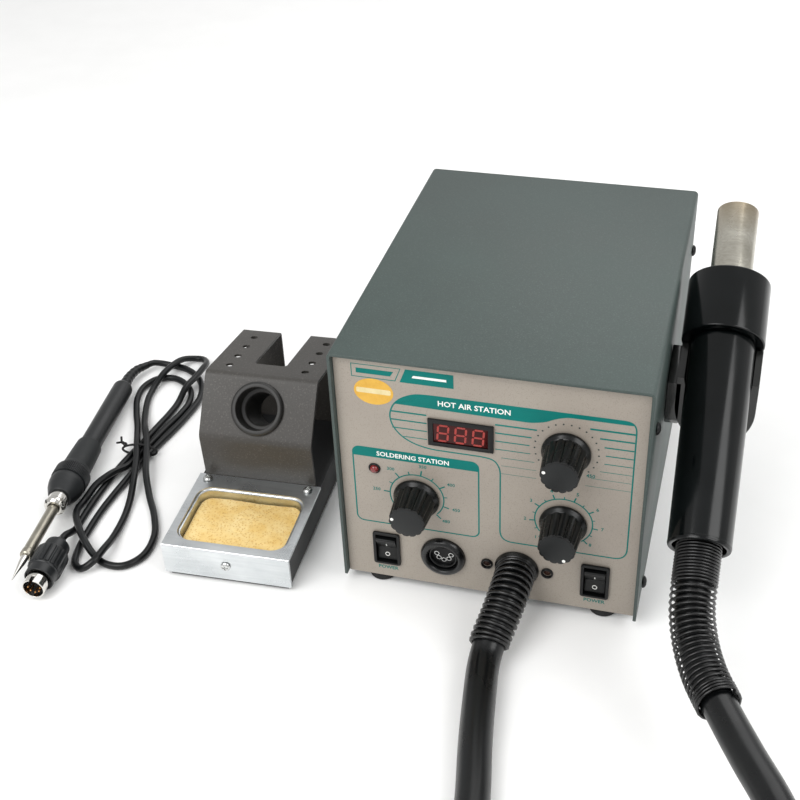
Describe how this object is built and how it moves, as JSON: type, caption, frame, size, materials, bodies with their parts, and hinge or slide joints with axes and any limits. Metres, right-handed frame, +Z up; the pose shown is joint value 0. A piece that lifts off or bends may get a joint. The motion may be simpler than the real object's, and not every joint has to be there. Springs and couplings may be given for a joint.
{
  "type": "soldering station",
  "caption": "Two-in-one soldering and hot-air rework station with a leaning hot-air gun in a side holder, air hose, iron with coiled cord, sponge stand, knobs and rocker switches.",
  "frame": {"origin": "on the table, under the middle of the whole set without its free hose and cord", "axes": "+X to the right seen from the front, +Y to the back, +Z up; the station's panel faces -Y"},
  "size_m": [0.5638, 0.6364, 0.2051],
  "materials": {
    "cover": "fine-grained powder coat, semi-matt",
    "front_panel": "satin paint with printed scales and teal captions",
    "zinc_sheet": "zinc-plated, dull",
    "bright_steel": "polished",
    "tray_aluminium": "brushed, bright",
    "black_screw": "black-oxide, satin",
    "foot_rubber": "matt",
    "transformer": "laminated core with copper windings",
    "pump": "cast, painted dark",
    "board": "green laminate with parts",
    "black_plastic": "satin black moulding",
    "knob": "matt black moulding with a white pointer",
    "lens": "dark red translucent window",
    "lamp": "red translucent",
    "gun_plastic": "semi-gloss black moulding",
    "heater": "unglazed",
    "hose_rubber": "satin",
    "guard": "black coil guard",
    "holder": "gloss black",
    "stand_paint": "hammered dark grey",
    "stand_rubber": "matt",
    "sponge": "damp cellulose, matt",
    "cup": "matt black heat-resistant moulding",
    "iron_plastic": "matt black moulding and soft grip",
    "cord_rubber": "matt",
    "plug_plastic": "ribbed black moulding"
  },
  "bodies": {
    "station": {"base_tray": "zinc_sheet", "top_cover": "cover", "front_panel": "front_panel", "rear_panel": "zinc_sheet", "transformer": "transformer", "air_pump": "pump", "control_board": "board", "mains_inlet": "black_plastic", "display_frame": "black_plastic", "display_lens": "lens", "indicator_lamp": "lamp", "iron_switch_housing": "black_plastic", "air_switch_housing": "black_plastic", "iron_pot": "bright_steel", "heat_pot": "bright_steel", "air_pot": "bright_steel", "iron_socket": "black_plastic", "hose_gland": "black_plastic", "panel_guard": "guard", "pump_lock_screw_1": "black_screw", "pump_lock_screw_2": "black_screw", "air_hose": "hose_rubber", "gun_holder": "holder", "cover_screw_1": "black_screw", "cover_screw_2": "black_screw", "cover_screw_3": "black_screw", "cover_screw_4": "black_screw", "cover_screw_5": "black_screw", "cover_screw_6": "black_screw", "foot_1": "foot_rubber", "foot_2": "foot_rubber", "foot_3": "foot_rubber", "foot_4": "foot_rubber"},
    "gun": {"gun_handle": "gun_plastic", "gun_collar": "gun_plastic", "gun_barrel": "bright_steel", "gun_heater": "heater", "gun_guard": "guard"},
    "stand": {"stand_base": "stand_rubber", "stand_tray": "tray_aluminium", "tray_screw_1": "bright_steel", "tray_screw_2": "bright_steel", "tray_screw_3": "bright_steel", "stand_cradle": "stand_paint", "cradle_cup": "cup"},
    "sponge": {"sponge": "sponge"},
    "iron": {"iron_handle": "iron_plastic", "iron_nut": "bright_steel", "iron_barrel": "bright_steel", "iron_tip": "bright_steel", "iron_relief": "cord_rubber", "iron_cord": "cord_rubber", "plug_body": "plug_plastic", "plug_shell": "bright_steel"},
    "plug_ring": {"plug_ring": "plug_plastic"},
    "iron_knob": {"iron_knob": "knob"},
    "heat_knob": {"heat_knob": "knob"},
    "air_knob": {"air_knob": "knob"},
    "iron_rocker": {"iron_switch_rocker": "black_plastic"},
    "air_rocker": {"air_switch_rocker": "black_plastic"}
  },
  "joints": [
    {"name": "gun_lift", "type": "slide", "parent": "station", "child": "gun", "axis": [-0.0166, 0.8659, 0.5], "range_m": [0, 0.05]},
    {"name": "stand_lift", "type": "slide", "parent": "station", "child": "stand", "axis": [0, 0, 1], "range_m": [0, 0.05]},
    {"name": "sponge_lift", "type": "slide", "parent": "stand", "child": "sponge", "axis": [0, 0, 1], "range_m": [0, 0.03]},
    {"name": "iron_lift", "type": "slide", "parent": "station", "child": "iron", "axis": [0, 0, 1], "range_m": [0, 0.05]},
    {"name": "plug_ring_turn", "type": "hinge", "parent": "iron", "child": "plug_ring", "pos_m": [-0.20003, -0.09342, 0.0118], "axis": [0.0958, -0.9954, 0], "continuous": true},
    {"name": "iron_knob_turn", "type": "hinge", "parent": "station", "child": "iron_knob", "pos_m": [0.04427, -0.06842, 0.077], "axis": [0, 1, 0], "range_deg": [-66, 234]},
    {"name": "heat_knob_turn", "type": "hinge", "parent": "station", "child": "heat_knob", "pos_m": [0.13477, -0.06842, 0.1282], "axis": [0, 1, 0], "range_deg": [-73, 227]},
    {"name": "air_knob_turn", "type": "hinge", "parent": "station", "child": "air_knob", "pos_m": [0.13477, -0.06842, 0.074], "axis": [0, 1, 0], "range_deg": [-300, 0]},
    {"name": "iron_rocker_tilt", "type": "hinge", "parent": "station", "child": "iron_rocker", "pos_m": [0.02327, -0.06742, 0.0318], "axis": [-1, 0, 0], "range_deg": [0, 24]},
    {"name": "air_rocker_tilt", "type": "hinge", "parent": "station", "child": "air_rocker", "pos_m": [0.15567, -0.06742, 0.0318], "axis": [-1, 0, 0], "range_deg": [0, 24]}
  ]
}
